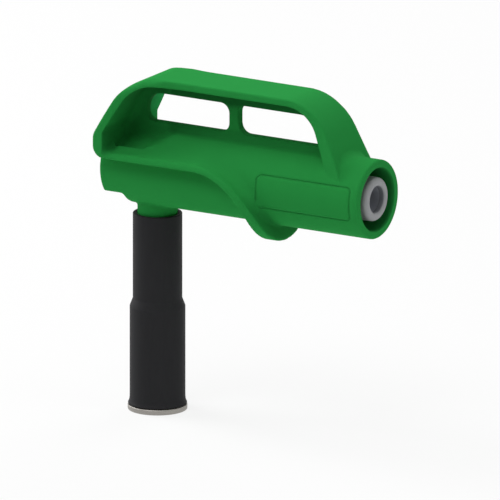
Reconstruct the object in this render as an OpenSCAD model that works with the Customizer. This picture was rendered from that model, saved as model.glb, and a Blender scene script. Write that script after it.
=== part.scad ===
// Magnetic test probe adapter: a right-angle 4 mm safety socket with a looped
// finger handle on top and a magnetic contact tip below.
// Millimetres. The origin is the centre of the contact face, +Z runs up the tip
// and +X runs along the barrel towards the mouth of the socket.

/* [Barrel] */
// Height of the barrel's axis above the contact face
axis_z = 37.3; // [34:0.1:42]
// Outer diameter of the barrel on the hand side
barrel_d = 12; // [11.8:0.1:13]
// Outer diameter of the barrel on the tip side of the guard
tip_barrel_d = 11.7; // [11:0.1:11.8]
// Distance from the tip's axis to the mouth of the socket
mouth_x = 38.4; // [36:0.2:44]
// Distance from the tip's axis to the rear end of the barrel
rear_x = 6.6; // [5.5:0.1:8]
// Height of the flat cut under the barrel's rear end
relief_h = 2.1; // [1:0.1:3]
// Radius of the rounded edges at the mouth
mouth_round = 0.3; // [0.2:0.05:0.6]

/* [Socket] */
// Bore of the contact, for a 4 mm plug
plug_bore_d = 4.1; // [4:0.02:4.2]
// Depth of the contact's bore
plug_bore_len = 22; // [18:0.5:24]
// Outer diameter of the insulated post
post_d = 6.7; // [6.5:0.05:6.8]
// Diameter of the ring space for the plug's shroud, at its outer wall
shroud_bore_d = 9.5; // [9.3:0.05:9.9]
// Depth of the ring space
shroud_depth = 24; // [22:0.5:25]
// How far the post stands back from the mouth
post_recess = 0; // [0:0.05:1]
// Outer diameter of the contact inside the post
contact_d = 5.2; // [5:0.05:5.4]
// Outer diameter of the contact's rear body
contact_body_d = 7; // [6.6:0.1:7.4]
// Thickness of the post's base flange
post_flange_t = 2; // [1:0.1:2.5]
// Thickness of the insulating lip in front of the contact
post_lip_t = 1; // [0.6:0.1:1.6]
// Radius of the post's front edge
post_round = 0.7; // [0.3:0.05:0.8]

/* [Guard] */
// Diameter of the finger guard about the barrel's axis
guard_d = 16.4; // [15.4:0.1:18]
// Thickness of the guard's shelf
shelf_t = 1; // [0.8:0.1:1.4]
// Height of the shelf's underside above the barrel's axis
shelf_rise = 2.15; // [1.6:0.05:2.6]
// Where the guard starts to sweep down, from the tip's axis
sweep_x = 10.5; // [9:0.1:11.5]
// Radius of the sweep on the tip side
sweep_r = 9.8; // [9.4:0.1:10.4]
// Radius of the sweep on the hand side
sweep_hand_r = 11.9; // [11.8:0.1:12.6]

/* [Handle] */
// Height of the handle's top above the barrel's axis
handle_h = 14.45; // [13.6:0.05:16]
// Width of the handle along the top
band_w = 8.1; // [7:0.1:10]
// Thickness of the handle along the top
band_t = 1.15; // [0.9:0.05:1.4]
// Thickness of the hood's wall at the rear
hood_t = 1.2; // [1:0.05:1.9]
// Radius of the hood's upper corner
hood_r = 6; // [5:0.1:7]
// Slope of the hood's rear wall, from level
hood_slope = 60; // [55:1:65]
// Sideways flare of the hood, from the handle's direction
hood_flare = 30.5; // [25:0.5:33]
// Where the hood starts to flare, from the tip's axis
flare_x = 1.3; // [0.5:0.1:2]
// Radius of the bend where the flare starts
flare_bend_r = 20; // [10:1:21]
// Radius that brings the hood's flared sides parallel at its rear face
hood_side_r = 3.5; // [2.5:0.1:4.5]
// Radius between the hood's slope and its upright rear face
hood_heel_r = 2.6; // [1:0.1:3.5]
// Radius of the handle's front corner, outside
leg_outer_r = 8.5; // [8:0.1:9.5]
// Radius of the handle's front corner, inside
leg_inner_r = 5.5; // [5:0.1:6]
// Where the outside corner starts, from the tip's axis
leg_outer_x = 24.3; // [23.5:0.1:25]
// Where the inside corner starts, from the tip's axis
leg_inner_x = 25.1; // [24.6:0.1:25.5]
// Slope of the front leg's outer face, from level
leg_outer_slope = 64.5; // [62:0.5:67]
// Slope of the front leg's inner face, from level
leg_inner_slope = 71; // [69:1:74]
// Width of the front leg where it meets the barrel
leg_foot_w = 10.2; // [8.2:0.1:10.4]

/* [Web] */
// Thickness of the web that fills the handle
web_t = 1.4; // [1:0.1:2]
// Height of the windows' lower edge above the barrel's axis
window_z = 7; // [6.6:0.1:7.2]
// Height of the windows
window_h = 4.5; // [4.2:0.1:4.8]
// Rear end of the rear window, from the tip's axis
rear_window_x = -1.35; // [-2:0.05:-1]
// Length of the rear window
rear_window_len = 14.3; // [13:0.1:14.5]
// Width of the post between the windows
window_post_w = 1.45; // [1.2:0.05:2.4]
// Length of the front window
front_window_len = 14.6; // [13:0.1:14.8]

/* [Tip] */
// Diameter of the neck under the barrel
neck_d = 6; // [5.8:0.05:6.2]
// Height of the neck's lower end above the contact face
neck_end_z = 19.8; // [19.2:0.1:22]
// Outer diameter of the magnet holder
holder_d = 7; // [6.8:0.1:7.6]
// Height of the holder's shoulder above the contact face
holder_shoulder_z = 15.95; // [15:0.05:16.2]
// Diameter of the contact disc
disc_d = 8.9; // [8.6:0.1:10]
// Thickness of the contact disc
disc_t = 0.8; // [0.6:0.05:1.2]
// Thickness of the disc's register inside the holder
disc_register_t = 0.4; // [0.3:0.05:0.6]
// Diameter of the magnet
magnet_d = 5; // [4:0.1:5.4]
// Length of the magnet
magnet_len = 10; // [6:0.5:11]

/* [Sleeve] */
// Wall of the insulating sleeve
sleeve_t = 0.6; // [0.4:0.05:0.8]
// Height of the sleeve's open rim above the contact face
sleeve_top_z = 30.2; // [26:0.1:30.6]
// Height of the sleeve's flared lip
lip_h = 0.43; // [0.3:0.01:0.8]

/* [Fasteners] */
// Diameter of the contact stud
stud_d = 2.5; // [2:0.1:3]
// Width across the flats of the lock nut
nut_af = 5; // [4.5:0.1:5.1]
// Thickness of the lock nut
nut_t = 2; // [1.4:0.1:2.1]
// Thickness of the lock washer
washer_t = 0.6; // [0.4:0.05:0.7]
// Outer diameter of the lock washer
washer_d = 5.1; // [4.6:0.1:5.4]

/* [Clearances] */
// Radial clearance where a piece slides into another
slide_gap = 0.05; // [0.03:0.01:0.1]
// Radial clearance of the stud in the neck
stud_gap = 0.15; // [0.1:0.01:0.25]

/* [Hidden] */
$fn = 96;
green = "#2a9646";
black = "#2a2a2c";
pale_grey = "#b4b2b4";
nickel = "#b9b4ab";
brass = "#c9a85a";

// Cutting tools reach this far past the face that they open
over = 1;
// Pieces of one solid sink this far into each other
sink = 0.2;
// A straight edge meets its arc this far inside it, so that the two cross cleanly
arc_sink = 0.005;

// Socket, from the mouth inwards
gap_floor_x = mouth_x - shroud_depth;
seat_x = gap_floor_x - post_flange_t;
post_front_x = mouth_x - post_recess;
contact_front_x = post_front_x - post_lip_t;
contact_rear_x = -neck_d / 2;
contact_bore_x = contact_front_x - plug_bore_len;

// Rear relief
relief_z = axis_z - tip_barrel_d / 2 + relief_h;
relief_gap = 0.4;
relief_x = -neck_d / 2 - relief_gap;

// Guard and handle
guard_r = guard_d / 2;
shelf_z = axis_z + shelf_rise;
top_z = axis_z + handle_h;
inner_top_z = top_z - band_t;
hood_lead = 0.55;
hood_setback = 0.15;
hood_inner_lead = 0.19;
hood_corner = [flare_x + hood_lead, top_z - hood_r];
hood_face_x = -rear_x + hood_setback;
hood_inner_r = hood_r - hood_t;
hood_inner_c = [hood_corner[0] + hood_inner_lead, inner_top_z - hood_inner_r];
hood_foot_z = shelf_z;
hood_foot_r = 2;
leg_outer_c = [leg_outer_x, top_z - leg_outer_r];
leg_inner_c = [leg_inner_x, inner_top_z - leg_inner_r];
floor_z = shelf_z + shelf_t;
flare_w = band_w / 2;
leg_widen_len = 2.8;
arc_steps = 6;

// Windows
rear_window_end = rear_window_x + rear_window_len;
front_window_x = rear_window_end + window_post_w;
front_window_end = front_window_x + front_window_len;
window_low = axis_z + window_z;
window_top = window_low + window_h;
leg_corner = 3.7;
large_corner = 2.6;
medium_corner = 1.5;
small_corner = 1;
tight_corner = 0.4;

// Tip
holder_top_z = neck_end_z - washer_t - nut_t;
bore_end_z = disc_t + disc_register_t + magnet_len;
sleeve_low_d = holder_d + 2 * slide_gap + 2 * sleeve_t;
sleeve_high_d = neck_d + 2 * slide_gap + 2 * sleeve_t;
thread_floor = 1;
stud_low_z = bore_end_z + thread_floor;

// Point at an angle on a circle
function on_circle(c, r, a) = [c[0] + r * cos(a), c[1] + r * sin(a)];

// Place where a line from point p at slope a reaches height z
function at_height(p, a, z) = [p[0] + (z - p[1]) / tan(a), z];

// A flat outline in X and Z, made a slab of width w centred on the middle plane
module slab(w) {
    rotate([90, 0, 0])
        linear_extrude(height = w, center = true)
            children();
}

// A body of revolution about the barrel's axis, drawn as distance from x0 and radius
module about_barrel(x0 = 0) {
    translate([x0, 0, axis_z])
        rotate([0, 90, 0])
            rotate_extrude()
                children();
}

// A round bar or bore along the barrel's axis from x0 to x1
module along_barrel(d, x0, x1) {
    translate([x0, 0, axis_z])
        rotate([0, 90, 0])
            cylinder(d = d, h = x1 - x0);
}

// A window with its own radius at each corner: rear low, front low, front top, rear top
module window_outline(x0, x1, z0, z1, r) {
    intersection() {
        translate([x0, z0])
            square([x1 - x0, z1 - z0]);
        union() {
            polygon([
                [x0 + r[0], z0], [x1 - r[1], z0], [x1, z0 + r[1]], [x1, z1 - r[2]],
                [x1 - r[2], z1], [x0 + r[3], z1], [x0, z1 - r[3]], [x0, z0 + r[0]]
            ]);
            translate([x0 + r[0], z0 + r[0]])
                circle(r = r[0]);
            translate([x1 - r[1], z0 + r[1]])
                circle(r = r[1]);
            translate([x1 - r[2], z1 - r[2]])
                circle(r = r[2]);
            translate([x0 + r[3], z1 - r[3]])
                circle(r = r[3]);
        }
    }
}

// Side view of the space under the handle's outer surface
module handle_outer() {
    rear_tangent = on_circle(hood_corner, hood_r - arc_sink, 90 + hood_slope);
    rear_foot_z = rear_tangent[1] - (rear_tangent[0] - hood_face_x) * tan(hood_slope);
    heel_c = [hood_face_x + hood_heel_r, rear_foot_z - hood_heel_r * tan(45 - hood_slope / 2)];
    front_tangent = on_circle(leg_outer_c, leg_outer_r - arc_sink, 90 - leg_outer_slope);
    union() {
        polygon([
            [hood_face_x + hood_foot_r, hood_foot_z], [hood_face_x, hood_foot_z + hood_foot_r],
            [hood_face_x, heel_c[1]], on_circle(heel_c, hood_heel_r - arc_sink, 90 + hood_slope),
            rear_tangent, [hood_corner[0], top_z],
            [leg_outer_c[0], top_z], front_tangent,
            at_height(front_tangent, -leg_outer_slope, axis_z),
            [hood_face_x + hood_foot_r, axis_z]
        ]);
        translate(hood_corner)
            circle(r = hood_r);
        translate(heel_c)
            circle(r = hood_heel_r);
        translate([hood_face_x + hood_foot_r, hood_foot_z + hood_foot_r])
            circle(r = hood_foot_r);
        intersection() {
            translate(leg_outer_c)
                circle(r = leg_outer_r);
            translate([leg_outer_c[0], axis_z])
                square([leg_outer_r, top_z - axis_z]);
        }
    }
}

// Side view of the finger opening inside the handle, down to the barrel's axis
module handle_inner() {
    tangent = on_circle(hood_inner_c, hood_inner_r - arc_sink, 90 + hood_slope);
    foot_x = hood_face_x + hood_t;
    foot_z = tangent[1] - (tangent[0] - foot_x) * tan(hood_slope);
    front_tangent = on_circle(leg_inner_c, leg_inner_r - arc_sink, 90 - leg_inner_slope);
    union() {
        polygon([
            [foot_x, axis_z], [foot_x, foot_z], tangent, [hood_inner_c[0], inner_top_z],
            [leg_inner_c[0], inner_top_z], front_tangent,
            at_height(front_tangent, -leg_inner_slope, axis_z)
        ]);
        translate(hood_inner_c)
            circle(r = hood_inner_r);
        translate(leg_inner_c)
            circle(r = leg_inner_r);
    }
}

// Plan of the handle: straight along the top, flared at the hood, wider at the leg's foot
module handle_plan() {
    turn_x = hood_face_x + hood_side_r * sin(hood_flare);
    turn_w = flare_w + (flare_x - turn_x) * tan(hood_flare);
    turn_c = [hood_face_x, turn_w - hood_side_r * cos(hood_flare)];
    bend_c = [flare_x + flare_bend_r * tan(hood_flare / 2), flare_w + flare_bend_r];
    foot_x = leg_outer_x + leg_outer_r;
    half = concat(
        [[mouth_x, leg_foot_w / 2], [foot_x + over, leg_foot_w / 2]],
        [[foot_x - leg_widen_len, flare_w]],
        [for (i = [0:arc_steps]) on_circle(bend_c, flare_bend_r, 270 - hood_flare * i / arc_steps)],
        [for (i = [0:arc_steps]) on_circle(turn_c, hood_side_r, 90 - hood_flare * (1 - i / arc_steps))],
        [[hood_face_x - over, turn_c[1] + hood_side_r]]
    );
    polygon(concat(half, [for (i = [len(half) - 1:-1:0]) [half[i][0], -half[i][1]]]));
}

// The band that runs from the hood over the top and down the front leg
module handle_band() {
    intersection() {
        slab(guard_d + 2 * over)
            difference() {
                handle_outer();
                handle_inner();
            }
        translate([0, 0, axis_z])
            linear_extrude(height = handle_h + over)
                handle_plan();
    }
}

// The thin wall in the middle plane, with its two windows
module web() {
    slab(web_t)
        difference() {
            handle_outer();
            window_outline(rear_window_x, rear_window_end, window_low, window_top,
                [medium_corner, small_corner, medium_corner, large_corner]);
            window_outline(front_window_x, front_window_end, window_low, window_top,
                [medium_corner, tight_corner, leg_corner, small_corner]);
        }
}

// Side view of everything on the tip side of the guard, grown by a margin
module tip_side(margin) {
    low = axis_z - guard_r - 2 * over;
    translate([-rear_x - over, low])
        square([sweep_x + rear_x + over, shelf_z + margin - low]);
    translate([sweep_x, shelf_z - sweep_r])
        circle(r = sweep_r + margin);
}

// Side view of the guard: a level shelf that sweeps down to the front lobe
module guard_profile() {
    low = axis_z - guard_r - over;
    difference() {
        union() {
            translate([hood_face_x + hood_foot_r, low])
                square([sweep_x - hood_face_x - hood_foot_r, floor_z - low]);
            intersection() {
                translate([sweep_x, floor_z - sweep_hand_r])
                    circle(r = sweep_hand_r);
                translate([sweep_x - sink, low])
                    square([sweep_hand_r + over, floor_z - low]);
            }
            translate([hood_face_x + hood_foot_r, hood_foot_z + hood_foot_r])
                circle(r = hood_foot_r);
        }
        tip_side(0);
        translate([hood_face_x - over, floor_z])
            square([sweep_x, hood_foot_r * 2]);
    }
}

// The finger guard, cut to its round outline about the barrel
module guard() {
    intersection() {
        slab(guard_d + 2 * over)
            guard_profile();
        along_barrel(guard_d, -rear_x - over, mouth_x);
    }
}

// The barrel on the tip side, with the flat cut under its rear end
module tip_barrel() {
    difference() {
        along_barrel(tip_barrel_d, -rear_x, sweep_x + sweep_r + sink);
        translate([-rear_x - over, -barrel_d, relief_z - barrel_d])
            cube([rear_x + over + relief_x, 2 * barrel_d, barrel_d]);
    }
}

// The barrel above the guard and in front of it, with rounded edges at the mouth
module hand_barrel() {
    hand_x = hood_face_x + hood_t / 2;
    hand_len = mouth_x - hand_x;
    hand_r = barrel_d / 2;
    difference() {
        about_barrel(hand_x)
            union() {
                square([hand_r, hand_len - mouth_round]);
                square([hand_r - mouth_round, hand_len]);
                translate([hand_r - mouth_round, hand_len - mouth_round])
                    circle(r = mouth_round);
            }
        slab(guard_d + 2 * over)
            tip_side(sink);
    }
}

// Openings in the grip: ring space, contact seat and stud hole
module grip_bores() {
    along_barrel(contact_body_d, contact_rear_x, seat_x + sink);
    along_barrel(shroud_bore_d, seat_x, mouth_x + over);
    translate([0, 0, neck_end_z - over])
        cylinder(d = stud_d + 2 * stud_gap, h = axis_z - neck_end_z + over);
}

module grip_body() {
    color(green)
        difference() {
            union() {
                tip_barrel();
                hand_barrel();
                guard();
                handle_band();
                web();
                translate([0, 0, neck_end_z])
                    cylinder(d = neck_d, h = axis_z - neck_end_z);
            }
            grip_bores();
        }
}

// Light grey sleeve over the contact, with a base flange pressed into the ring space
module socket_insulator() {
    post_len = post_front_x - seat_x;
    color(pale_grey)
        difference() {
            union() {
                along_barrel(shroud_bore_d, seat_x, gap_floor_x);
                about_barrel(seat_x)
                    union() {
                        square([post_d / 2, post_len - post_round]);
                        square([post_d / 2 - post_round, post_len]);
                        translate([post_d / 2 - post_round, post_len - post_round])
                            circle(r = post_round);
                    }
            }
            along_barrel(contact_d, seat_x - over, contact_front_x);
            along_barrel(plug_bore_d + 2 * slide_gap, contact_front_x - over, mouth_x + over);
        }
}

// Turned contact: a bored tube in front and a solid body behind, cross-drilled for the stud
module socket_contact() {
    color(nickel)
        difference() {
            union() {
                along_barrel(contact_body_d, contact_rear_x, seat_x);
                along_barrel(contact_d, seat_x - sink, contact_front_x);
            }
            along_barrel(plug_bore_d, contact_bore_x, contact_front_x + over);
            translate([0, 0, axis_z - contact_body_d])
                cylinder(d = stud_d, h = contact_body_d);
        }
}

// Threaded stud that carries the current down the neck, drawn without its thread
module contact_stud() {
    color(brass)
        translate([0, 0, stud_low_z])
            cylinder(d = stud_d, h = axis_z - stud_low_z);
}

// Washer under the end of the neck
module lock_washer() {
    color(nickel)
        translate([0, 0, neck_end_z - washer_t])
            difference() {
                cylinder(d = washer_d, h = washer_t);
                translate([0, 0, -over])
                    cylinder(d = stud_d + 2 * slide_gap, h = washer_t + 2 * over);
            }
}

// Hexagon nut that clamps the neck to the contact
module lock_nut() {
    color(nickel)
        translate([0, 0, holder_top_z])
            difference() {
                cylinder(d = nut_af / cos(30), h = nut_t, $fn = 6);
                translate([0, 0, -over])
                    cylinder(d = stud_d, h = nut_t + 2 * over);
            }
}

// Turned cup that holds the magnet and screws on to the stud
module magnet_holder() {
    color(brass)
        difference() {
            union() {
                translate([0, 0, disc_t])
                    cylinder(d = holder_d, h = holder_shoulder_z - disc_t);
                translate([0, 0, holder_shoulder_z])
                    cylinder(d1 = holder_d, d2 = neck_d, h = holder_top_z - holder_shoulder_z);
            }
            translate([0, 0, disc_t - over])
                cylinder(d = magnet_d + 2 * slide_gap, h = bore_end_z - disc_t + over);
            translate([0, 0, stud_low_z])
                cylinder(d = stud_d, h = holder_top_z - stud_low_z + over);
        }
}

module magnet() {
    color("silver")
        translate([0, 0, disc_t + disc_register_t])
            cylinder(d = magnet_d, h = magnet_len);
}

// Contact disc with a low register that centres it in the holder
module contact_disc() {
    color(nickel)
        union() {
            cylinder(d = disc_d, h = disc_t);
            cylinder(d = magnet_d + 2 * slide_gap, h = disc_t + disc_register_t);
        }
}

// Black stepped sleeve over the neck and the holder, flared at its lower lip
module insulating_sleeve() {
    color(black)
        rotate_extrude()
            polygon([
                [sleeve_low_d / 2 - sleeve_t, disc_t],
                [disc_d / 2, disc_t],
                [sleeve_low_d / 2, disc_t + lip_h],
                [sleeve_low_d / 2, holder_shoulder_z],
                [sleeve_high_d / 2, holder_top_z],
                [sleeve_high_d / 2, sleeve_top_z],
                [sleeve_high_d / 2 - sleeve_t, sleeve_top_z],
                [sleeve_high_d / 2 - sleeve_t, holder_top_z],
                [sleeve_low_d / 2 - sleeve_t, holder_shoulder_z]
            ]);
}

grip_body();
socket_insulator();
socket_contact();
contact_stud();
lock_washer();
lock_nut();
magnet_holder();
magnet();
contact_disc();
insulating_sleeve();
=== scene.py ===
"""Magnetic test probe adapter: a green moulded grip with a socket, and a black sleeved tip."""
import math

import bpy
import numpy as np
import openvdb
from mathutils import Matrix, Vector


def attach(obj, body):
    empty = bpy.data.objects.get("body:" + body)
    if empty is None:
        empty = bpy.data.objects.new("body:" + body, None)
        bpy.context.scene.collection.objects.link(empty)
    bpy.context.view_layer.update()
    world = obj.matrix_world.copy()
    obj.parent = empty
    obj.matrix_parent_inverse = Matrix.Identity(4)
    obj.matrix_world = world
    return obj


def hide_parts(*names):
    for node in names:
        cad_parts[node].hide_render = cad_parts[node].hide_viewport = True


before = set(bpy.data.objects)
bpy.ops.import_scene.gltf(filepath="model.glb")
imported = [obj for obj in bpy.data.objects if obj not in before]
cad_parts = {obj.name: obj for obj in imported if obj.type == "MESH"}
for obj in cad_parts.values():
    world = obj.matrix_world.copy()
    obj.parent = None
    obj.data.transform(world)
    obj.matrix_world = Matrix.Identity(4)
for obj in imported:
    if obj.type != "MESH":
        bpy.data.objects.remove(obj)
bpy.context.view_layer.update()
bpy.ops.object.select_all(action="DESELECT")

# The view. The camera has no perspective, as in the photograph: it looks down
# at the adapter from 14.6 degrees up, 31.4 degrees round from its side.
MM = 0.001
view_turn, view_lift = math.radians(31.4), math.radians(14.6)
towards_camera = Vector((
    math.sin(view_turn) * math.cos(view_lift),
    -math.cos(view_turn) * math.cos(view_lift),
    math.sin(view_lift),
))
view_centre = Vector((16.12, 0.0, 26.53)) * MM
bpy.ops.object.camera_add(location=view_centre + towards_camera * 0.5)
camera = bpy.context.object
camera.name = "camera"
camera.rotation_euler = (-towards_camera).to_track_quat("-Z", "Y").to_euler()
camera.data.type = "ORTHO"
camera.data.ortho_scale = 74.42 * MM
camera.data.clip_start = 0.01
camera.data.clip_end = 5.0
bpy.context.scene.camera = camera
bpy.context.scene.view_settings.view_transform = "Standard"


# The bench top. A matt white sheet that the adapter stands on, seen as plain
# white, with the faint shadow under the contact disc left on it.
class Node:
    """A material's socket, with arithmetic: an expression on it adds the nodes."""

    def __init__(self, tree, socket):
        self.tree = tree
        self.socket = socket

    def make(self, kind, settings, inputs, output=0):
        node = self.tree.nodes.new(kind)
        for key, value in settings.items():
            setattr(node, key, value)
        for key, value in inputs.items():
            if isinstance(value, Node):
                self.tree.links.new(value.socket, node.inputs[key])
            else:
                node.inputs[key].default_value = value
        return Node(self.tree, node.outputs[output])

    def maths(self, operation, *values, clamp=False):
        settings = {"operation": operation, "use_clamp": clamp}
        return self.make("ShaderNodeMath", settings, dict(enumerate(values)))

    def __add__(self, other):
        return self.maths("ADD", self, other)

    def __radd__(self, other):
        return self.maths("ADD", other, self)

    def __sub__(self, other):
        return self.maths("SUBTRACT", self, other)

    def __rsub__(self, other):
        return self.maths("SUBTRACT", other, self)

    def __mul__(self, other):
        return self.maths("MULTIPLY", self, other)

    def __rmul__(self, other):
        return self.maths("MULTIPLY", other, self)

    def __truediv__(self, other):
        return self.maths("DIVIDE", self, other)

    def __neg__(self):
        return self.maths("MULTIPLY", self, -1.0)


def new_material(name):
    """An empty material: gives it, a start for its nodes, and its output."""
    material = bpy.data.materials.new(name)
    material.use_nodes = True
    tree = material.node_tree
    tree.nodes.clear()
    output = tree.nodes.new("ShaderNodeOutputMaterial")
    return material, Node(tree, None), output


bpy.ops.mesh.primitive_plane_add(size=1.6, location=(0.0, 0.0, -0.02 * MM))
bench = bpy.context.object
bench.name = "bench"
bench_white, start, output = new_material("bench_white")
paper = start.make("ShaderNodeBsdfDiffuse", {}, {"Color": (0.9, 0.9, 0.9, 1.0)})
glow = start.make("ShaderNodeEmission", {}, {"Color": (1.0, 1.0, 1.0, 1.0), "Strength": 1.0})
rays = start.tree.nodes.new("ShaderNodeLightPath")
camera_ray, glossy_ray, through_ray = [
    Node(start.tree, rays.outputs[f"Is {kind} Ray"]) for kind in ("Camera", "Glossy", "Transmission")]
seen = start.maths("MAXIMUM", start.maths("MAXIMUM", camera_ray, glossy_ray), through_ray)
mixed = start.make("ShaderNodeMixShader", {}, {0: seen * 0.8, 1: paper, 2: glow})
# from below the sheet is clear, so that the underside can be looked at
from_below = start.make("ShaderNodeNewGeometry", {}, {}, "Backfacing") * camera_ray
clear = start.make("ShaderNodeBsdfTransparent", {}, {})
mixed = start.make("ShaderNodeMixShader", {}, {0: from_below, 1: mixed, 2: clear})
start.tree.links.new(mixed.socket, output.inputs["Surface"])
bench.data.materials.append(bench_white)

# The grip. One moulding in green glass-filled nylon: the barrel, the finger guard
# on it, the looped handle with its hood and web, and the neck. A mould leaves a
# fillet in every corner, so the body is worked out as a field of distances (mm).
STEP = 0.16
field_low, field_high = (-7.4, 0.0, 18.6), (39.3, 9.1, 52.7)
counts = [int(math.ceil((high - low) / STEP)) + 1 for low, high in zip(field_low, field_high)]
xs, ys, zs = [low + STEP * np.arange(n) for low, n in zip(field_low, counts)]
x, y, z = xs[:, None, None], ys[None, :, None], zs[None, None, :]


def arc_points(centre, radius, start, stop, steps=40):
    angles = np.radians(np.linspace(start, stop, steps + 1))
    return [(centre[0] + radius * math.cos(a), centre[1] + radius * math.sin(a)) for a in angles]


def outline_field(points, us, vs):
    """Distance from a closed outline over the grid us by vs, less than zero inside it."""
    u, v = us[:, None], vs[None, :]
    nearest = np.full((len(us), len(vs)), 1e9)
    inside = np.zeros((len(us), len(vs)), bool)
    for (u0, v0), (u1, v1) in zip(points, points[1:] + points[:1]):
        du, dv = u1 - u0, v1 - v0
        if du * du + dv * dv < 1e-12:
            continue
        along = np.clip(((u - u0) * du + (v - v0) * dv) / (du * du + dv * dv), 0, 1)
        nearest = np.minimum(nearest, (u - u0 - along * du) ** 2 + (v - v0 - along * dv) ** 2)
        crosses = (v0 > v) != (v1 > v)
        if dv:
            inside ^= crosses & (u < u0 + (v - v0) * du / dv)
    return np.where(inside, -1, 1) * np.sqrt(nearest)


def joined(a, b, fillet):
    """Two bodies as one, with a fillet of that radius where they meet."""
    corner = np.sqrt(np.maximum(fillet - a, 0) ** 2 + np.maximum(fillet - b, 0) ** 2)
    return np.maximum(fillet, np.minimum(a, b)) - corner


def kept(a, b, edge):
    """What two bodies share, with its edge rounded to that radius."""
    return -joined(-a, -b, edge)


def ramp(value, start, stop):
    t = np.clip((value - start) / (stop - start), 0, 1)
    return t * t * (3 - 2 * t)


AXIS_Z, BARREL_R, MOUTH_X = 37.3, 6.0, 38.4
from_axis = np.sqrt(y * y + (z - AXIS_Z) ** 2)

# side view of the finger guard: its hand face, and everything on the tip side. Both
# sweep down over the lobe; the guard's rim gets sharper on the way
LOBE_X, LOBE_Z, LOBE_R = 10.5, 28.5, 11.95
TIP_SWEEP_Z, TIP_SWEEP_R = 29.65, 9.8
GUARD_TOP = 39.45
GUARD_R = 8.2
hand_face = outline_field(
    [(-4.4, 18.0), (-4.4, GUARD_TOP)] + arc_points((-4.4, GUARD_TOP + 2.0), 2.0, 270, 210)
    + arc_points((LOBE_X, LOBE_Z), LOBE_R, 90, 0) + [(LOBE_X + LOBE_R, 18.0)], xs, zs)[:, None, :]
tip_side = outline_field(
    [(-9.0, 17.0), (-9.0, GUARD_TOP)] + arc_points((LOBE_X, TIP_SWEEP_Z), TIP_SWEEP_R, 90, 0)
    + [(LOBE_X + TIP_SWEEP_R, 17.0)], xs, zs)[:, None, :]
rim = 0.28 - 0.14 * ramp(z, 34.8, 32.0)
guard = kept(hand_face, from_axis - GUARD_R - 0.13 * ramp(z, 34.0, 31.0), rim)
hand_barrel = kept(from_axis - BARREL_R, x - MOUTH_X, 0.3)
hand_barrel = np.maximum(hand_barrel, -5.75 - x)
fillet = 0.02 + 1.6 * ramp(x, -5.4, -3.4) - 1.35 * ramp(z, 36.0, 31.0) * ramp(x, 12.0, 15.0)
body = kept(joined(hand_barrel, guard, fillet), -tip_side, 0.25 - 0.12 * ramp(z, 34.8, 32.0))

# the barrel on the tip side, with the flat step under its rear end
TIP_BARREL_R, REAR_X = 5.85, -6.6
FLAT_X, FLAT_Z = -3.4, 33.6
tip_barrel = kept(from_axis - TIP_BARREL_R, REAR_X - x, 0.2)
flat_step = kept(x - FLAT_X, z - FLAT_Z, 0.3)
tip_barrel = kept(tip_barrel, -flat_step, 0.2)
under_guard = joined(tip_barrel, -tip_side, 0.02 + 0.6 * ramp(x, -4.2, -3.0))
under_guard = np.maximum(np.maximum(under_guard, from_axis - 6.9), np.maximum(tip_side - 0.3, -4.2 - x))
body = np.minimum(np.minimum(body, under_guard), np.maximum(tip_barrel, x - 20.0))

# the hollow behind the barrel's dome, inside the hood
hollow = kept(kept(4.5 - from_axis, 39.3 - z, 0.6), x - 0.9 * (z - 40.4), 1.2)
hollow = np.maximum(np.maximum(hollow, -5.1 - x), y - 5.0)
body = kept(body, -hollow, 0.12 + 1.9 * ramp(y, 4.8, 3.6))

# the handle from the side: the hood rises from its heel up a slope and over a bend
# to the flat band, outside and inside, and the front leg leans down to the barrel
HEEL_X, HEEL_R = -6.44, 2.4
SLOPE_DEG = 60.4
BEND, BEND_R = (2.07, 45.69), 6.1
INNER_X, INNER_BEND, INNER_BEND_R = -4.8, (1.87, 46.1), 4.5
BAND_UNDER = INNER_BEND[1] + INNER_BEND_R
slope = math.radians(SLOPE_DEG)


def slope_foot(bend, radius, foot_x):
    """Height at foot_x of the slope that touches that bend."""
    touch_x, touch_z = bend[0] - radius * math.sin(slope), bend[1] + radius * math.cos(slope)
    return touch_z - (touch_x - foot_x) * math.tan(slope)


def leg_down(points, lean):
    """The point where the leg's face, at that lean in degrees, has run into the barrel."""
    end_x, end_z = points[-1]
    return (end_x + (end_z - 16.0) / math.tan(math.radians(lean)), 16.0)


heel_drop = HEEL_R * math.tan(math.radians((90 - SLOPE_DEG) / 2))
heel_z = slope_foot(BEND, BEND_R, HEEL_X) - heel_drop
outer = ([(-4.4, 16.0), (-4.4, GUARD_TOP)] + arc_points((HEEL_X + 2.0, GUARD_TOP + 2.0), 2.0, 270, 180)
         + arc_points((HEEL_X + HEEL_R, heel_z), HEEL_R, 180, 90 + SLOPE_DEG, 8)
         + arc_points(BEND, BEND_R, 90 + SLOPE_DEG, 90) + arc_points((24.3, 43.25), 8.5, 90, 25.5))
outer.append(leg_down(outer, 64.5))
inner = ([(INNER_X, 16.0), (INNER_X, slope_foot(INNER_BEND, INNER_BEND_R, INNER_X))]
         + arc_points(INNER_BEND, INNER_BEND_R, 90 + SLOPE_DEG, 90)
         + arc_points((24.72, 45.1), 5.5, 90, 19))
inner.append(leg_down(inner, 71.0))
outer_face = outline_field(outer, xs, zs)[:, None, :]
inner_face = outline_field(inner, xs, zs)[:, None, :]

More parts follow.
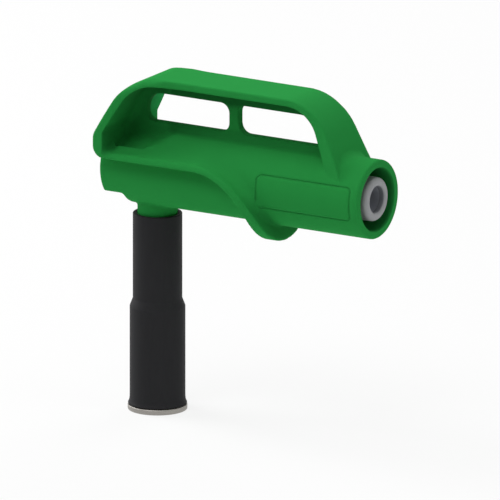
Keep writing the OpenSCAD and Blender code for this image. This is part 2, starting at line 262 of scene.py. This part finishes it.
# the handle from above: the leg narrows to the band, which flares out to the hood's
# sides on one arc and turns back along them on another
BAND_HALF = 4.05
FLARE_DEG, FLARE_X, FLARE_R = 32.4, 7.27, 17.2
SIDE_X, SIDE_R = -6.4, 7.3
flare = math.radians(FLARE_DEG)
flare_end_x = FLARE_X - FLARE_R * math.sin(flare)
flare_end_y = BAND_HALF + FLARE_R * (1 - math.cos(flare))
side_start_y = flare_end_y + (flare_end_x - SIDE_X - SIDE_R * math.sin(flare)) * math.tan(flare)
side_y = side_start_y + SIDE_R * (1 - math.cos(flare))
plan = ([(45.0, -1.0), (45.0, 5.2), (35.0, 5.2), (33.2, 4.7), (31.5, 4.3), (29.5, BAND_HALF)]
        + arc_points((FLARE_X, BAND_HALF + FLARE_R), FLARE_R, 270, 270 - FLARE_DEG)
        + arc_points((SIDE_X, side_y - SIDE_R), SIDE_R, 90 - FLARE_DEG, 90)
        + [(-9.0, side_y), (-9.0, -1.0)])
plan_face = outline_field(plan, xs, ys)[:, :, None]
band = kept(outer_face, plan_face, 0.26 + 1.2 * ramp(x, -3.5, -0.6) * ramp(x, 4.2, 0.9))
band = kept(band, -inner_face, 0.24)
web = np.maximum(outer_face + 0.4, y - 0.7)
handle = joined(band, web, 0.02 + (0.5 + 0.7 * ramp(x, 3.0, -1.0)) * ramp(-inner_face, -0.9, -0.2))
handle = np.maximum(handle, AXIS_Z - z)

# fillets where the handle stands on the barrel: deep in the hood's pocket, and
# small again outside the hood, where the two bodies' faces run together
fillet = 1.0 - (0.9 - 0.9 * ramp(5.2 - y, 0.2, 3.0)) * ramp(x, 26.0, 29.0)
fillet = fillet - (fillet - 0.1) * (1 - ramp(-outer_face, 0.2, 0.9)) * ramp(x, 8.0, 4.0)
body = joined(body, handle, fillet)
NECK_R, NECK_END = 3.0, 19.6
from_tip_axis = np.sqrt(x * x + y * y)
neck = kept(np.maximum(from_tip_axis - NECK_R, z - AXIS_Z), NECK_END - z, 0.2)
body = joined(body, neck, 0.3)


# the two windows through the web, each corner with its own radius
def window_field(x0, x1, z0, z1, radii):
    rear_low, front_low, front_top, rear_top = radii
    return outline_field(
        arc_points((x0 + rear_low, z0 + rear_low), rear_low, 180, 270)
        + arc_points((x1 - front_low, z0 + front_low), front_low, 270, 360)
        + arc_points((x1 - front_top, z1 - front_top), front_top, 0, 90)
        + arc_points((x0 + rear_top, z1 - rear_top), rear_top, 90, 180), xs, zs)[:, None, :]


WINDOW_LOW, WINDOW_TOP = 44.36, 48.68
windows = np.minimum(
    window_field(-1.5, 12.83, WINDOW_LOW, WINDOW_TOP, (1.3, 1.4, 1.5, 2.6)),
    window_field(14.52, 28.95, WINDOW_LOW, WINDOW_TOP, (1.6, 0.4, 3.9, 1.0)))
body = kept(body, -windows, 0.2)

# the ring space for the plug's shroud, the contact's seat, and the stud's hole
RING_R, RING_END = 4.75, 12.4
SEAT_R, SEAT_REAR, SEAT_FRONT = 3.5, -3.0, 14.6
STUD_HOLE_R = 1.4
body = kept(body, -np.maximum(from_axis - RING_R, RING_END - x), 0.2)
seat = np.maximum(from_axis - SEAT_R, np.maximum(SEAT_REAR - x, x - SEAT_FRONT))
body = np.maximum(body, -seat)
body = np.maximum(body, -np.maximum(from_tip_axis - STUD_HOLE_R, z - AXIS_Z))

# the shallow frame of the label field, on each side of the barrel: a rectangle with
# round corners and one cut corner, laid round the barrel
LABEL_X, LABEL_HALF_X, LABEL_UP, LABEL_HALF_UP, LABEL_R = 28.85, 7.35, 0.21, 1.77, 0.8
LABEL_CUT, DIAGONAL = 13.9, math.sqrt(0.5)
FRAME_DEPTH = 0.13
round_barrel = np.arctan2(z - AXIS_Z, y) * BARREL_R
across = np.maximum(abs(x - LABEL_X) - LABEL_HALF_X, 0)
up = np.maximum(abs(round_barrel - LABEL_UP) - LABEL_HALF_UP, 0)
label_edge = np.maximum(np.sqrt(across ** 2 + up ** 2), (round_barrel - x) * DIAGONAL + LABEL_CUT)
frame_cut = ramp(abs(label_edge - LABEL_R), 0.26, 0.0) * ((from_axis > 5.4) & (from_axis < 6.6))
body = body + FRAME_DEPTH * frame_cut

# the whole grip: the half and its mirror image, meshed, evened and thinned
whole = np.concatenate([body[:, :0:-1, :], body], axis=1)
whole = np.clip(whole, -4 * STEP, 4 * STEP).astype(np.float32)
grid = openvdb.FloatGrid(4 * STEP)
grid.copyFromArray(np.ascontiguousarray(whole))
corners, _, quads = grid.convertToPolygons(isovalue=0.0, adaptivity=0.0)
corners = (corners * STEP + np.array([field_low[0], -ys[-1], field_low[2]])) * MM

grip_mesh = bpy.data.meshes.new("grip")
grip_mesh.from_pydata(corners.tolist(), [], quads[:, ::-1].tolist())
grip = bpy.data.objects.new("grip", grip_mesh)
bpy.context.scene.collection.objects.link(grip)
bpy.ops.object.select_all(action="DESELECT")
bpy.context.view_layer.objects.active = grip
grip.select_set(True)
MOST_TRIANGLES = 190000
evening = grip.modifiers.new("evening", "SMOOTH")
evening.iterations = 2
bpy.ops.object.modifier_apply(modifier="evening")
thinning = grip.modifiers.new("thinning", "DECIMATE")
thinning.ratio = min(1.0, MOST_TRIANGLES / (2 * len(quads)))
bpy.ops.object.modifier_apply(modifier="thinning")
bpy.ops.object.mode_set(mode="EDIT")
bpy.ops.mesh.select_all(action="SELECT")
bpy.ops.mesh.normals_make_consistent(inside=False)
bpy.ops.object.mode_set(mode="OBJECT")
bpy.ops.object.shade_smooth()


def place(start):
    """The place of a point on a piece, in mm: its x, y and z."""
    spot = start.make("ShaderNodeTexCoord", {}, {}, "Object")
    parts = [start.make("ShaderNodeSeparateXYZ", {}, {0: spot}, i) * 1000.0 for i in range(3)]
    return [spot] + parts


def grain(start, spot, per_mm, detail=2.0, roughness=0.5):
    """Fractal noise from 0 to 1 with that many bumps per mm."""
    settings = {"Vector": spot, "Scale": per_mm * 1000.0, "Detail": detail, "Roughness": roughness}
    return start.make("ShaderNodeTexNoise", {}, settings)


def blend(start, factor, first, second):
    """A colour between two, by a factor from 0 to 1."""
    return start.make("ShaderNodeMix", {"data_type": "RGBA"}, {0: factor, 6: first, 7: second}, 2)


def relief(start, height, depth):
    """A bump of that many mm where the height is 1."""
    return start.make("ShaderNodeBump", {}, {"Strength": 1.0, "Distance": depth * MM, "Height": height})


def near(start, value, centre, width):
    """1 where the value is at the centre, falling to 0 at that width from it."""
    away = start.maths("ABSOLUTE", value - centre) / width
    return start.maths("SUBTRACT", 1.0, away, clamp=True)


def rise(start, value, low, high):
    """0 below the low value, 1 above the high one, and even between."""
    return start.maths("MULTIPLY", (value - low) / (high - low), 1.0, clamp=True)


def surface(start, output, colour, metallic, roughness, specular, normal):
    body = start.make("ShaderNodeBsdfPrincipled", {}, {
        "Base Color": colour, "Metallic": metallic, "Roughness": roughness,
        "Specular IOR Level": specular, "Normal": normal})
    start.tree.links.new(body.socket, output.inputs["Surface"])


# satin grain of the mould, faint flow mottle, and the sharp bottom of the label's frame
nylon, start, output = new_material("green_nylon")
spot, px, py, pz = place(start)
mottle = grain(start, spot, 0.22, 3.0, 0.6)
fibre = grain(start, spot, 1.6, 2.0, 0.6)
tone = blend(start, mottle * 0.7 + fibre * 0.3,
             (0.0205, 0.270, 0.0525, 1.0), (0.0235, 0.300, 0.0590, 1.0))
off_axis = pz - AXIS_Z
radius = start.maths("SQRT", off_axis * off_axis + py * py)
# painted shade: the ring space round the post is coloured darker, where it lies in shadow
inside = start.maths("LESS_THAN", radius, RING_R + 0.15) * start.maths("GREATER_THAN", px, 13.0)
tone = blend(start, inside, tone, (0.0150, 0.200, 0.0390, 1.0))

# painted shade: the recesses where shade falls are coloured darker: the hood's pocket, the
# web's top edge under the band and its foot along the windows, and the valley between
# the lobe and the barrel. The pocket's far wall has painted light, lighter where light from behind falls
SKIN = 0.08
from_middle = start.maths("ABSOLUTE", py)
under_band = start.maths("LESS_THAN", pz, BAND_UNDER + SKIN)
over_x, over_z = px - INNER_BEND[0], pz - INNER_BEND[1]
out_of_slope = over_z * math.cos(slope) - over_x * math.sin(slope)
up_slope = over_x * math.cos(slope) + over_z * math.sin(slope)
below_slope = start.maths("LESS_THAN", out_of_slope, INNER_BEND_R + SKIN)
at_bend = start.maths("GREATER_THAN", up_slope, 0.0)
at_bend = at_bend * start.maths("LESS_THAN", over_x, 0.0)
past_bend = start.maths("GREATER_THAN", over_x * over_x + over_z * over_z, (INNER_BEND_R + SKIN) ** 2)
in_hood = below_slope * under_band * (1.0 - at_bend * past_bend)
pocket = in_hood * start.maths("LESS_THAN", py, 0.75)
pocket = pocket * rise(start, px, -4.95, -4.85) * rise(start, px, 4.0, 2.0)
roof = rise(start, pz, 41.5, 43.5) * (rise(start, pz, 45.0, 49.0) * 0.4 + 0.4)
rear_wall = rise(start, pz, 39.9, 40.7) * rise(start, px, -3.4, -4.4)
rear_wall = rear_wall * (rise(start, py, -3.0, -6.5) * 0.4 + 0.3)
pocket = pocket * start.maths("MAXIMUM", roof, rear_wall)
painted_far_wall_light = in_hood * rise(start, py, 1.6, 3.0) * rise(start, px, 3.0, 0.5) * rise(start, pz, 42.0, 44.5)
web_top = under_band * rise(start, pz, 48.0, 48.8) * start.maths("LESS_THAN", px, 26.0) * 0.9
web_top = web_top * start.maths("LESS_THAN", from_middle, 3.9) * rise(start, px, 2.0, 3.0)
foot = rise(start, pz, 42.5, 43.4) * rise(start, from_middle, 1.9, 1.2) * rise(start, px, 1.0, 3.0)
foot = foot * rise(start, pz, 45.2, 44.6) * rise(start, px, 31.0, 30.0)
foot = foot * (rise(start, px, 12.5, 4.0) * 0.5 + 0.3)
over_lobe, up_lobe = px - LOBE_X, pz - LOBE_Z
lobe_face = start.maths("SQRT", over_lobe * over_lobe + up_lobe * up_lobe)
valley = rise(start, lobe_face, 13.4, 12.2) * rise(start, lobe_face, 11.2, 11.7)
valley = valley * rise(start, radius, 8.25, 7.8) * rise(start, pz, 37.0, 34.0)
valley = valley * rise(start, px, 13.0, 16.0) * 0.5
painted_shade = start.maths("MAXIMUM", pocket, web_top)
painted_shade = start.maths("MAXIMUM", painted_shade, start.maths("MAXIMUM", foot, valley))
# painted shade: the recesses darkened towards a deep green
tone = blend(start, painted_shade, tone, (0.0098, 0.128, 0.0250, 1.0))
# painted light: the pocket's far wall made a brighter green
tone = blend(start, painted_far_wall_light, tone, (0.0225, 0.430, 0.100, 1.0))
around = start.maths("ARCTAN2", off_axis, -py) * BARREL_R
across = start.maths("MAXIMUM", start.maths("ABSOLUTE", px - LABEL_X) - LABEL_HALF_X, 0.0)
up = start.maths("MAXIMUM", start.maths("ABSOLUTE", around - LABEL_UP) - LABEL_HALF_UP, 0.0)
frame_edge = start.maths("SQRT", across * across + up * up)
frame_edge = start.maths("MAXIMUM", frame_edge, (around - px) * DIAGONAL + LABEL_CUT)
groove = near(start, frame_edge, LABEL_R, 0.17) * start.maths("GREATER_THAN", radius, 5.6)
groove = groove * start.maths("LESS_THAN", radius, 6.15) * start.maths("LESS_THAN", py, 0.0)
height = grain(start, spot, 3.2, 3.0, 0.6) * 0.04 + mottle * 0.10 - groove
surface(start, output, tone, 0.0, 0.72 + fibre * 0.10, 0.02, relief(start, height, 0.14))
grip.data.materials.append(nylon)
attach(grip, "root")
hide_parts("grip_body")

# The insulating sleeve. Black shrink-fit polymer drawn over the neck and the magnet
# holder, so it steps out over the holder and flares into a lip on the disc.
def turned(name, profile):
    """A body of revolution about Z from its closed outline of (radius, height) in mm."""
    bpy.ops.object.select_all(action="DESELECT")
    radius, height = profile[0]
    bpy.ops.mesh.primitive_circle_add(vertices=128, radius=radius * MM, location=(0, 0, height * MM))
    piece = bpy.context.object
    piece.name = name
    bpy.ops.object.transform_apply(location=True, rotation=True, scale=True)
    bpy.ops.object.mode_set(mode="EDIT")
    bpy.ops.mesh.select_all(action="SELECT")
    for next_radius, next_height in profile[1:] + profile[:1]:
        lift = (0, 0, (next_height - height) * MM)
        bpy.ops.mesh.extrude_region_move(TRANSFORM_OT_translate={"value": lift})
        widen = next_radius / radius
        bpy.ops.transform.resize(value=(widen, widen, 1.0), center_override=(0, 0, next_height * MM))
        radius, height = next_radius, next_height
    bpy.ops.mesh.select_all(action="SELECT")
    bpy.ops.mesh.remove_doubles(threshold=1e-6)
    bpy.ops.mesh.normals_make_consistent(inside=False)
    bpy.ops.object.mode_set(mode="OBJECT")
    bpy.ops.object.shade_smooth_by_angle(angle=math.radians(35))
    return piece


sleeve_profile = (
    [(3.55, 0.9), (4.22, 0.9)] + arc_points((4.28, 1.05), 0.12, 270, 380, 6)
    + [(4.27, 1.3), (4.2, 1.6), (4.165, 1.9), (4.15, 2.4), (4.15, 15.75)]
    + arc_points((3.75, 15.8), 0.4, 0, 20, 3) + arc_points((4.11, 17.15), 0.42, 200, 180, 3)
    + [(3.69, 29.95)] + arc_points((3.54, 30.05), 0.15, 0, 90, 5)
    + arc_points((3.2, 30.05), 0.15, 90, 180, 5) + [(3.05, 17.2), (3.55, 15.8)])
sleeve = turned("sleeve", sleeve_profile)
rubber, start, output = new_material("black_sleeve")
spot, px, py, pz = place(start)
mottle = grain(start, spot, 0.5, 3.0, 0.6)
draw_marks = start.make("ShaderNodeCombineXYZ", {}, {0: px * MM, 1: py * MM, 2: pz * 0.08 * MM})
streaks = grain(start, draw_marks, 2.6, 3.0, 0.55)
tone = blend(start, streaks * 0.5 + mottle * 0.5,
             (0.0205, 0.0205, 0.0225, 1.0), (0.0285, 0.0285, 0.0305, 1.0))
height = grain(start, spot, 5.0, 3.0, 0.6) * 0.10 + streaks * 0.35 + mottle * 0.25
surface(start, output, tone, 0.0, 0.52 + mottle * 0.16, 0.08, relief(start, height, 0.03))
sleeve.data.materials.append(rubber)
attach(sleeve, "root")
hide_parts("insulating_sleeve")

# The contact disc. Turned steel, nickel plated, with a fine face mark and a broken
# edge; its register sits in the holder and the magnet pulls it home.
disc_profile = (
    [(0.0001, 0.0), (4.25, 0.0)] + arc_points((4.25, 0.2), 0.2, 270, 360, 6)
    + [(4.45, 0.72), (4.40, 0.79), (4.3, 0.8), (2.55, 0.8), (2.55, 1.15), (2.5, 1.2), (0.0001, 1.2)])
disc = turned("disc", disc_profile)
plate, start, output = new_material("nickel_disc")
spot, px, py, pz = place(start)
from_centre = start.maths("SQRT", px * px + py * py)
rings = start.make("ShaderNodeCombineXYZ", {}, {0: from_centre * MM, 1: pz * MM})
turning = grain(start, rings, 9.0, 4.0, 0.7)
smudge = grain(start, spot, 0.35, 4.0, 0.65)
tone = blend(start, smudge, (0.295, 0.279, 0.256, 1.0), (0.388, 0.369, 0.342, 1.0))
roughness = 0.34 + smudge * 0.16 + turning * 0.06
surface(start, output, tone, 0.85, roughness, 0.5, relief(start, turning, 0.004))
disc.data.materials.append(plate)
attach(disc, "root")
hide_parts("contact_disc")

# The socket's post. A light grey moulded sleeve round the contact, with a rounded
# nose and a base flange that is pressed into the bottom of the ring space.
POST_R, NOSE_R, POST_BORE_R = 3.35, 0.75, 2.04
post_profile = (
    [(2.6, RING_END), (4.72, RING_END), (RING_R, 12.45), (RING_R, 14.3), (4.65, 14.4), (3.5, 14.4)]
    + [(POST_R, 14.55), (POST_R, MOUTH_X - NOSE_R)]
    + arc_points((POST_R - NOSE_R, MOUTH_X - NOSE_R), NOSE_R, 0, 90, 10)
    + arc_points((POST_BORE_R + 0.4, MOUTH_X - 0.4), 0.4, 90, 180, 8)
    + [(POST_BORE_R, 37.4), (2.6, 37.4)])
post = turned("post", post_profile)
bpy.ops.object.select_all(action="DESELECT")
bpy.context.view_layer.objects.active = post
post.select_set(True)
post.rotation_euler = (0.0, math.radians(90.0), 0.0)
post.location = (0.0, 0.0, AXIS_Z * MM)
bpy.ops.object.transform_apply(location=True, rotation=True, scale=True)
nylon_grey, start, output = new_material("grey_nylon")
spot, px, py, pz = place(start)
mottle = grain(start, spot, 0.6, 3.0, 0.6)
off_axis = pz - AXIS_Z
radius = start.maths("SQRT", off_axis * off_axis + py * py)
tone = blend(start, mottle, (0.305, 0.314, 0.322, 1.0), (0.375, 0.386, 0.394, 1.0))
# painted shade: the wall of the post's bore is coloured darker, where the contact inside lies in shadow
tone = blend(start, start.maths("LESS_THAN", radius, POST_BORE_R + 0.04), tone, (0.19, 0.20, 0.215, 1.0))
height = grain(start, spot, 4.0, 3.0, 0.6) * 0.12 + mottle * 0.2
surface(start, output, tone, 0.0, 0.42 + mottle * 0.14, 0.30, relief(start, height, 0.04))
post.data.materials.append(nylon_grey)
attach(post, "root")
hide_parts("socket_insulator")

# The contact. Turned brass, nickel plated, bored for the plug and cross-tapped for
# the stud. Only its bore shows, through the post, with fine marks from the reamer.
def metal(name, node, first, second, metallic, roughness, marks):
    """A plated or bare metal for a piece of the frame, with the marks of its making."""
    material, start, output = new_material(name)
    spot, px, py, pz = place(start)
    smudge = grain(start, spot, 0.7, 4.0, 0.65)
    tone = blend(start, smudge, first, second)
    scratch = marks(start, px, py, pz)
    normal = relief(start, scratch, 0.006)
    surface(start, output, tone, metallic, roughness + smudge * 0.14 + scratch * 0.05, 0.5, normal)
    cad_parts[node].data.materials.clear()
    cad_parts[node].data.materials.append(material)


def turned_x(start, px, py, pz):
    """Marks that run round X."""
    return grain(start, start.make("ShaderNodeCombineXYZ", {}, {0: px * MM}), 9.0, 4.0, 0.7)


metal("nickel_contact", "socket_contact",
      (0.37, 0.39, 0.425, 1.0), (0.52, 0.54, 0.58, 1.0), 0.5, 0.38, turned_x)

# The stud, nut, washer, holder and magnet. They sit inside the sleeve and the neck:
# a brass stud with its rolled thread, a plated nut and washer that clamp the neck,
# a turned brass cup, and a plated magnet in it.
def thread(start, px, py, pz):
    """A thread's crests at M2.5's pitch, 0.45 mm."""
    turn = start.maths("ARCTAN2", py, px) / math.tau
    return start.maths("PINGPONG", pz / 0.45 + turn, 0.5) * 2.0


def turned_z(start, px, py, pz):
    """Marks that run round Z."""
    radius = start.maths("SQRT", px * px + py * py)
    rings = start.make("ShaderNodeCombineXYZ", {}, {0: radius * MM, 2: pz * MM})
    return grain(start, rings, 9.0, 4.0, 0.7)


def pressed(start, px, py, pz):
    """The even, slightly pitted face of a plated blank."""
    spot = start.make("ShaderNodeCombineXYZ", {}, {0: px * MM, 1: py * MM, 2: pz * MM})
    return grain(start, spot, 5.0, 3.0, 0.6)


metal("brass_stud", "contact_stud", (0.60, 0.42, 0.17, 1.0), (0.70, 0.50, 0.22, 1.0), 0.9, 0.28, thread)
metal("nickel_washer", "lock_washer", (0.46, 0.44, 0.41, 1.0), (0.56, 0.54, 0.50, 1.0), 0.9, 0.30, pressed)
metal("nickel_nut", "lock_nut", (0.46, 0.44, 0.41, 1.0), (0.56, 0.54, 0.50, 1.0), 0.9, 0.26, turned_z)
metal("brass_holder", "magnet_holder", (0.58, 0.41, 0.17, 1.0), (0.68, 0.50, 0.23, 1.0), 0.9, 0.30, turned_z)
metal("plated_magnet", "magnet", (0.50, 0.50, 0.50, 1.0), (0.60, 0.60, 0.61, 1.0), 0.9, 0.22, pressed)

# The lamps. A light tent: one wide soft lamp overhead, and weaker soft lamps
# round the sides that lift the walls of the grip. Only polish sees the tent's cloth.
tent = bpy.data.worlds.new("tent")
bpy.context.scene.world = tent
tent.use_nodes = True
tent.node_tree.nodes.clear()
start = Node(tent.node_tree, None)
output = tent.node_tree.nodes.new("ShaderNodeOutputWorld")
rays = tent.node_tree.nodes.new("ShaderNodeLightPath")
glossy_ray, through_ray = [
    Node(tent.node_tree, rays.outputs[f"Is {kind} Ray"]) for kind in ("Glossy", "Transmission")]
polish = start.maths("MAXIMUM", glossy_ray, through_ray)
glow = 0.02 + polish * 0.5
cloth = start.make("ShaderNodeBackground", {}, {"Color": (1.0, 1.0, 1.0, 1.0), "Strength": glow})
tent.node_tree.links.new(cloth.socket, output.inputs["Surface"])
lamp_aim = Vector((0.016, 0.0, 0.03))
for name, turn, lift, size, power in (
    ("lamp_over", 0, 90, 1.2, 2.1),
    ("lamp_near", 0, 60, 0.4, 1.8),
    ("lamp_left_low", -90, 20, 0.4, 1.9),
    ("lamp_left_high", -90, 50, 0.4, 1.8),
    ("lamp_right", 90, 20, 0.4, 0.85),
    ("lamp_far", 180, 33, 0.4, 1.0),
):
    turn, lift = math.radians(turn), math.radians(lift)
    aim = Vector((math.sin(turn) * math.cos(lift), -math.cos(turn) * math.cos(lift), math.sin(lift)))
    bpy.ops.object.light_add(type="AREA", location=lamp_aim + aim * 0.7)
    lamp = bpy.context.object
    lamp.name = name
    lamp.data.shape = "SQUARE"
    lamp.data.size = size
    lamp.data.energy = power
    lamp.rotation_euler = (-aim).to_track_quat("-Z", "Y").to_euler()
